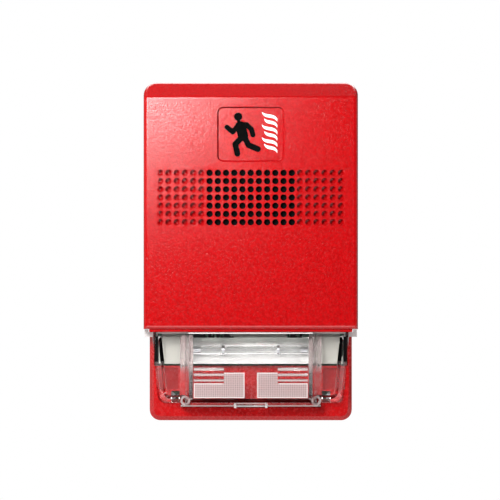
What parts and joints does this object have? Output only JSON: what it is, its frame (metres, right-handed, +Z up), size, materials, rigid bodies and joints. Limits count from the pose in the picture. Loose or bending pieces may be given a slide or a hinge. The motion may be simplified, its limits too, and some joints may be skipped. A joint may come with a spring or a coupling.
{
  "type": "horn strobe",
  "caption": "Slim wall-mounted fire alarm horn strobe: red hinged cover with sound grille and sign panel over a red base with clear flash lens, for a single electrical box.",
  "frame": {"origin": "on the wall, midway between the two screws of the electrical box", "axes": "+Z up, -Y out of the wall towards the room, +X to the right as the device is looked at"},
  "size_m": [0.084, 0.0254, 0.1318],
  "materials": {
    "cover_red": "moulded, fine texture",
    "base_red": "moulded, smooth",
    "lens_clear": "clear polycarbonate",
    "carrier_white": "moulded",
    "mirror_film": "vacuum metallised",
    "tube_glass": "clear",
    "steel": "plated",
    "black_plastic": "moulded",
    "brass_sheet": "rolled",
    "piezo_ceramic": "silvered",
    "gasket_foam": "closed-cell foam",
    "screen_black": "woven mesh",
    "ink_black": "hot-stamped",
    "ink_white": "hot-stamped",
    "board_green": "solder mask",
    "sleeve_black": "shrunk sleeve",
    "ferrite": "sintered",
    "copper_wire": "enamelled",
    "coil_potting": "dipped",
    "chip_black": "moulded epoxy",
    "terminal_green": "moulded",
    "switch_blue": "moulded",
    "knob_white": "moulded"
  },
  "bodies": {
    "base": {"base_housing": "base_red", "strobe_lens": "lens_clear", "reflector_carrier": "carrier_white", "reflector": "mirror_film", "flash_tube": "tube_glass", "tube_electrodes": "steel", "trigger_band": "steel", "horn_cup": "black_plastic", "horn_diaphragm": "brass_sheet", "piezo_disc": "piezo_ceramic", "horn_ring": "black_plastic", "horn_gasket": "gasket_foam", "horn_contacts": "brass_sheet", "circuit_board": "board_green", "board_screws": "steel", "flash_capacitor": "sleeve_black", "trigger_coil": "coil_potting", "choke_core": "ferrite", "choke_winding": "copper_wire", "driver_chips": "chip_black", "chip_resistors": "ferrite", "terminal_block": "terminal_green", "candela_switch": "black_plastic", "option_switch": "switch_blue"},
    "cover": {"front_cover": "cover_red", "grille_screen": "screen_black", "sign_runner": "ink_black", "sign_smoke": "ink_white"},
    "candela_selector": {"candela_slider": "knob_white"},
    "tone_selector": {"tone_lever": "knob_white"},
    "volume_selector": {"volume_lever": "knob_white"},
    "terminal_1": {"terminal_screw_1": "steel", "terminal_clamp_1": "brass_sheet"},
    "terminal_2": {"terminal_screw_2": "steel", "terminal_clamp_2": "brass_sheet"},
    "terminal_3": {"terminal_screw_3": "steel", "terminal_clamp_3": "brass_sheet"},
    "terminal_4": {"terminal_screw_4": "steel", "terminal_clamp_4": "brass_sheet"}
  },
  "joints": [
    {"name": "cover_swing", "type": "hinge", "parent": "base", "child": "cover", "pos_m": [0, -0.0016, 0.0478], "axis": [-1, 0, 0], "range_deg": [0, 45]},
    {"name": "candela_slide", "type": "slide", "parent": "base", "child": "candela_selector", "axis": [1, 0, 0], "range_m": [0, 0.006]},
    {"name": "tone_slide", "type": "slide", "parent": "base", "child": "tone_selector", "axis": [0, 0, 1], "range_m": [0, 0.0016]},
    {"name": "volume_slide", "type": "slide", "parent": "base", "child": "volume_selector", "axis": [0, 0, 1], "range_m": [0, 0.0016]},
    {"name": "terminal_lift_1", "type": "slide", "parent": "base", "child": "terminal_1", "axis": [0, -1, 0], "range_m": [0, 0.0016]},
    {"name": "terminal_lift_2", "type": "slide", "parent": "base", "child": "terminal_2", "axis": [0, -1, 0], "range_m": [0, 0.0016]},
    {"name": "terminal_lift_3", "type": "slide", "parent": "base", "child": "terminal_3", "axis": [0, -1, 0], "range_m": [0, 0.0016]},
    {"name": "terminal_lift_4", "type": "slide", "parent": "base", "child": "terminal_4", "axis": [0, -1, 0], "range_m": [0, 0.0016]}
  ]
}
